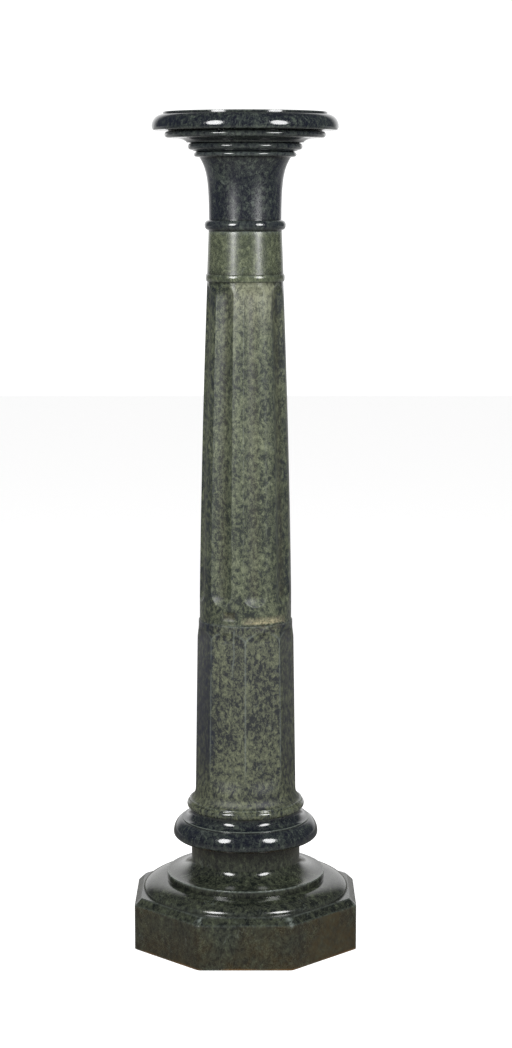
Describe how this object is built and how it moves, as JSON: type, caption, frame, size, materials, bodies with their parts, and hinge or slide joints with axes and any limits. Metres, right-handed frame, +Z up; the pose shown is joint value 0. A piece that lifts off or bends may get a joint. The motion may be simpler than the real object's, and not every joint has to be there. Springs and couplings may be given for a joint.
{
  "type": "marble pedestal",
  "caption": "Tall turned pedestal of dark green marble with a round top, fluted tapering shaft, arched-panel drum, moulded base and octagonal plinth, for showing a bust or vase",
  "frame": {"origin": "the middle of the plinth's underside, on the floor", "axes": "+Z up along the turning axis, -Y out of the front face of the octagonal plinth, +X to the right of it"},
  "size_m": [0.2868, 0.2868, 1.0705],
  "materials": {
    "plinth_marble": "polished dark green serpentine, brown dirt low on the faces",
    "moulding_marble": "polished dark green serpentine",
    "drum_marble": "honed olive-green serpentine with dark specks",
    "shaft_marble": "honed olive-green serpentine, polished above the flutes",
    "capital_marble": "polished dark green serpentine with grey-green mottling",
    "slab_marble": "polished dark green serpentine with grey-green mottling"
  },
  "bodies": {
    "root": {"plinth": "plinth_marble", "base_torus": "moulding_marble", "lower_shaft": "drum_marble", "upper_shaft": "shaft_marble", "capital": "capital_marble", "top_slab": "slab_marble"}
  },
  "joints": []
}
